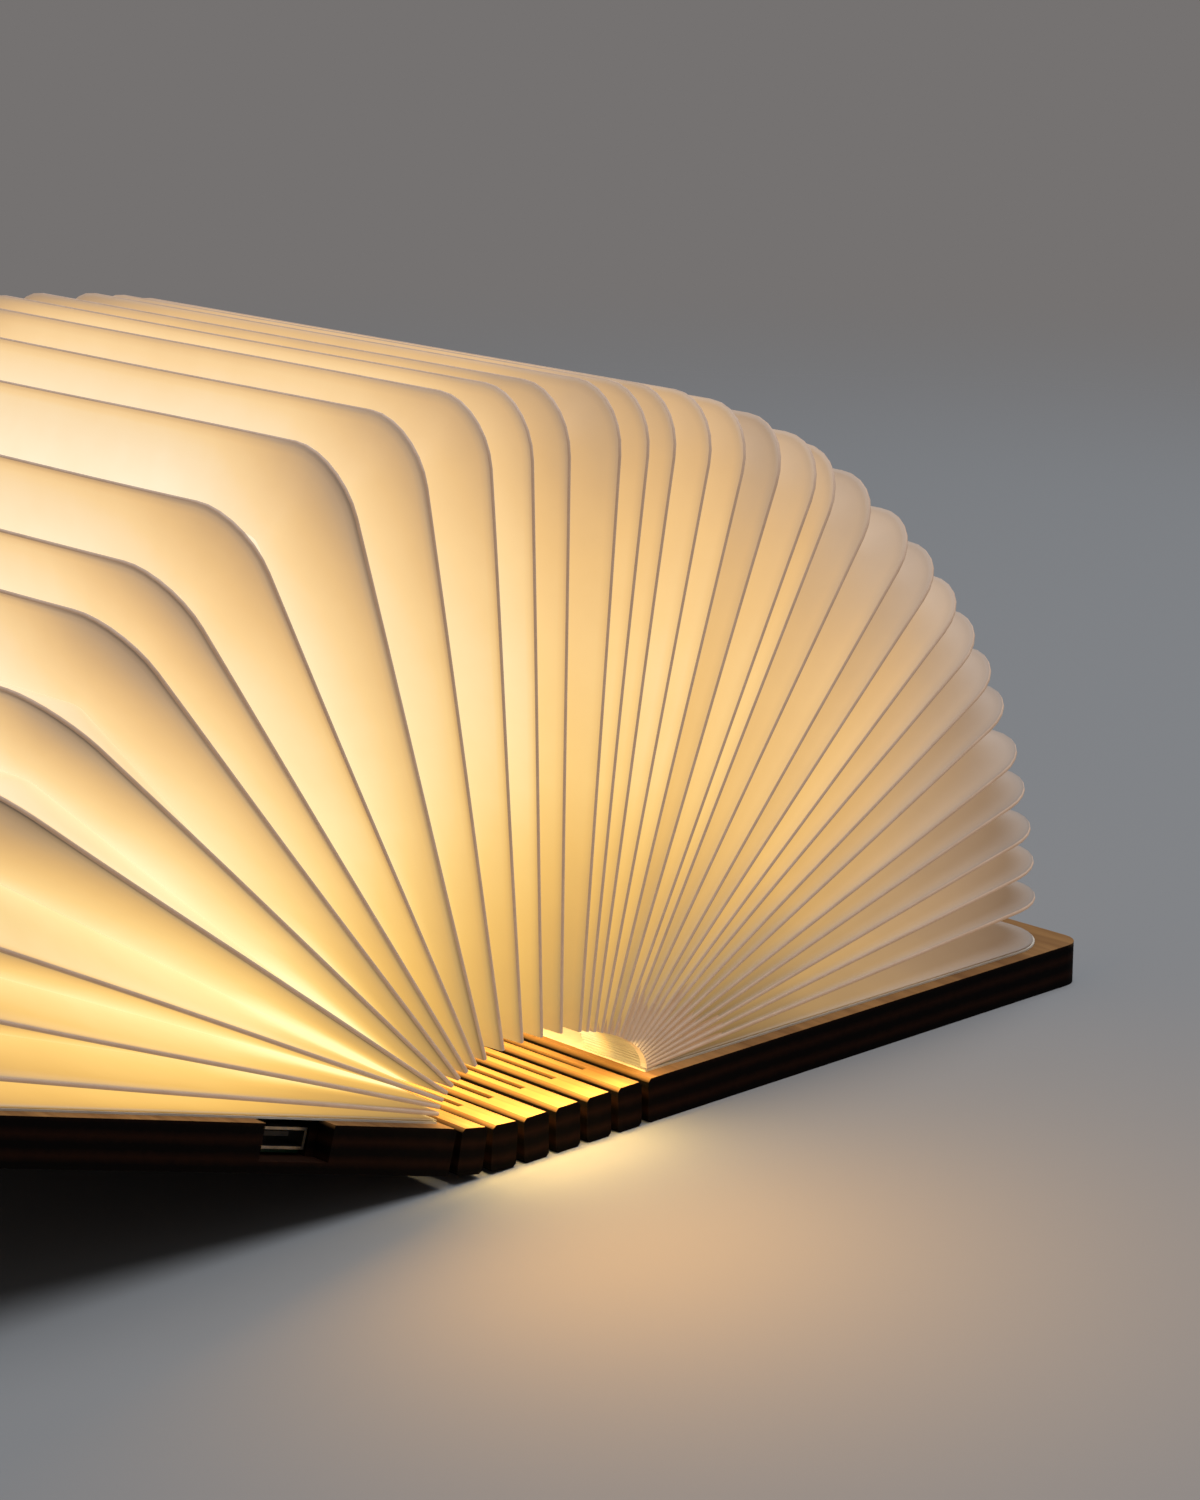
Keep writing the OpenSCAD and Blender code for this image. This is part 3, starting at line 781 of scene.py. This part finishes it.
class LAMP_OT_stage(bpy.types.Operator):
    """Camera, floor, background, studio light and the lamp's own light"""
    bl_idname = "lamp.stage"
    bl_label = "Stage"

    def execute(self, context):
        scene = context.scene
        sizes = scene.lamp_stage
        scene.view_settings.view_transform = "Standard"
        self.add_camera(scene, sizes)
        self.add_floor(scene, sizes)
        self.add_background(scene, sizes)
        self.add_lights(scene)
        return {"FINISHED"}

    def add_camera(self, scene, sizes):
        """Camera fitted to the photo."""
        lens = bpy.data.cameras.new("photo_camera")
        lens.lens = sizes.lens
        lens.sensor_width = SENSOR_W
        lens.clip_start = 10 * MM
        camera = bpy.data.objects.new("photo_camera", lens)
        camera.location = CAMERA_PLACE
        camera.rotation_euler = (
            Matrix.Rotation(-CAMERA_YAW, 3, "Z") @ Matrix.Rotation(math.pi / 2 - CAMERA_PITCH, 3, "X")
            @ Matrix.Rotation(CAMERA_ROLL, 3, "Z")
        ).to_euler()
        scene.collection.objects.link(camera)
        scene.camera = camera

    def add_floor(self, scene, sizes):
        """Round floor that fades into the background towards its rim."""
        material, tree, shader = new_material("floor", roughness=0.9, specular=0.1)
        links = tree.links
        shader.inputs["Base Color"].default_value = sizes.floor_colour
        place = node(tree, "ShaderNodeTexCoord")
        far = node(tree, "ShaderNodeVectorMath", operation="LENGTH")
        links.new(place.outputs["Object"], far.inputs[0])
        fade_from, fade_to = (sizes.floor_r * share for share in FLOOR_FADE)
        faded = fade(tree, far.outputs["Value"], fade_from, fade_to, "SMOOTHSTEP")
        clear = node(tree, "ShaderNodeBsdfTransparent")
        mixed = node(tree, "ShaderNodeMixShader")
        links.new(faded, mixed.inputs["Fac"])
        links.new(shader.outputs["BSDF"], mixed.inputs[1])
        links.new(clear.outputs["BSDF"], mixed.inputs[2])
        links.new(mixed.outputs["Shader"], tree.nodes["Material Output"].inputs["Surface"])
        turns = [math.tau * n / FLOOR_SIDES for n in range(FLOOR_SIDES)]
        rim = [(sizes.floor_r * math.cos(turn), sizes.floor_r * math.sin(turn), 0) for turn in turns]
        floor = new_piece("floor", rim, [tuple(range(FLOOR_SIDES))], material)

    def add_background(self, scene, sizes):
        """Plain colour behind the lamp, and a weak light from all round."""
        world = bpy.data.worlds.new("studio")
        scene.world = world
        world.use_nodes = True
        tree = world.node_tree
        tree.nodes.clear()
        links = tree.links
        path = node(tree, "ShaderNodeLightPath")
        either = calc(tree, "MAXIMUM", path.outputs["Is Camera Ray"], path.outputs["Is Glossy Ray"])
        seen = calc(tree, "MAXIMUM", either, path.outputs["Is Transmission Ray"])
        light = node(tree, "ShaderNodeBackground", Color=(0.94, 0.97, 1, 1), Strength=WORLD_STRENGTH)
        shown = node(tree, "ShaderNodeBackground", Strength=1.0)
        shown.inputs["Color"].default_value = sizes.background
        mixed = node(tree, "ShaderNodeMixShader")
        links.new(seen, mixed.inputs["Fac"])
        links.new(light.outputs["Background"], mixed.inputs[1])
        links.new(shown.outputs["Background"], mixed.inputs[2])
        out = node(tree, "ShaderNodeOutputWorld")
        links.new(mixed.outputs["Shader"], out.inputs["Surface"])

    def add_lights(self, scene):
        """Soft studio light overhead, and the lamp's own: inside, at its mouths and beside its pages."""
        key = bpy.data.lights.new("softbox", "AREA")
        key.shape = "DISK"
        key.size = SOFTBOX_SIZE
        key.energy = SOFTBOX_POWER
        key.color = (0.93, 0.96, 1)
        softbox = bpy.data.objects.new("softbox", key)
        softbox.location = SOFTBOX_PLACE
        softbox.rotation_euler = (-Vector(softbox.location)).to_track_quat("-Z", "Y").to_euler()
        scene.collection.objects.link(softbox)
        self.add_glow(scene, "strip_light", "slat_3", place=(-2, 0, 13.5), size=(32, 112), turn=(0, 0),
                      energy=0.12, colour=INSIDE_COLOUR)
        for end, way in (("near", -1), ("far", 1)):
            self.add_glow(scene, f"{end}_mouth_light", "slat_3", place=(0, 60.4 * way, 11), size=(28, 1.6),
                          turn=(0, 0), energy=0.0085, colour=INSIDE_COLOUR)
            self.add_glow(scene, f"{end}_page_light", "rib_6", place=(-21, 73 * way, 44), size=(40, 20),
                          turn=(76 * way, 12 * way), energy=0.072, colour=SPILLED_COLOUR)

    def add_glow(self, scene, name, body, place, size, turn, energy, colour):
        """Warm light in mm, tilted by degrees from straight down towards an end and turned on the spot."""
        glow = bpy.data.lights.new(name, "AREA")
        glow.shape = "RECTANGLE"
        glow.size, glow.size_y = (side * MM for side in size)
        glow.energy = energy
        glow.color = colour
        glow.spread = GLOW_SPREAD
        lamp = bpy.data.objects.new(name, glow)
        lamp.location = [x * MM for x in place]
        tilt, heading = (math.radians(a) for a in turn)
        lamp.rotation_euler = (tilt, 0, -heading)
        lamp.visible_camera = False
        scene.collection.objects.link(lamp)
        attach(lamp, body)


class LAMP_PT_panel(bpy.types.Panel):
    bl_idname = "LAMP_PT_panel"
    bl_label = "Book lamp"
    bl_space_type = "VIEW_3D"
    bl_region_type = "UI"
    bl_category = "Book lamp"

    def draw(self, context):
        for group in (context.scene.lamp_paper, context.scene.lamp_wood, context.scene.lamp_stage):
            box = self.layout.box()
            for name in group.__annotations__:
                box.prop(group, name)
        for operator in OPERATORS:
            self.layout.operator(operator.bl_idname)


OPERATORS = (
    LAMP_OT_paper_pleats,
    LAMP_OT_paper_seams,
    LAMP_OT_wood,
    LAMP_OT_liners,
    LAMP_OT_electrics,
    LAMP_OT_stage,
)
CLASSES = (LampPaperSizes, LampWoodSizes, LampStageSizes, *OPERATORS, LAMP_PT_panel)


def register():
    for cls in CLASSES:
        bpy.utils.register_class(cls)
    bpy.types.Scene.lamp_paper = bpy.props.PointerProperty(type=LampPaperSizes)
    bpy.types.Scene.lamp_wood = bpy.props.PointerProperty(type=LampWoodSizes)
    bpy.types.Scene.lamp_stage = bpy.props.PointerProperty(type=LampStageSizes)


def unregister():
    del bpy.types.Scene.lamp_stage
    del bpy.types.Scene.lamp_wood
    del bpy.types.Scene.lamp_paper
    for cls in reversed(CLASSES):
        bpy.utils.unregister_class(cls)


def main():
    """Builds the lamp and its stage."""
    register()
    bpy.ops.lamp.paper_pleats()
    bpy.ops.lamp.paper_seams()
    bpy.ops.lamp.wood()
    bpy.ops.lamp.liners()
    bpy.ops.lamp.electrics()
    bpy.ops.lamp.stage()


if __name__ == "__main__":
    main()
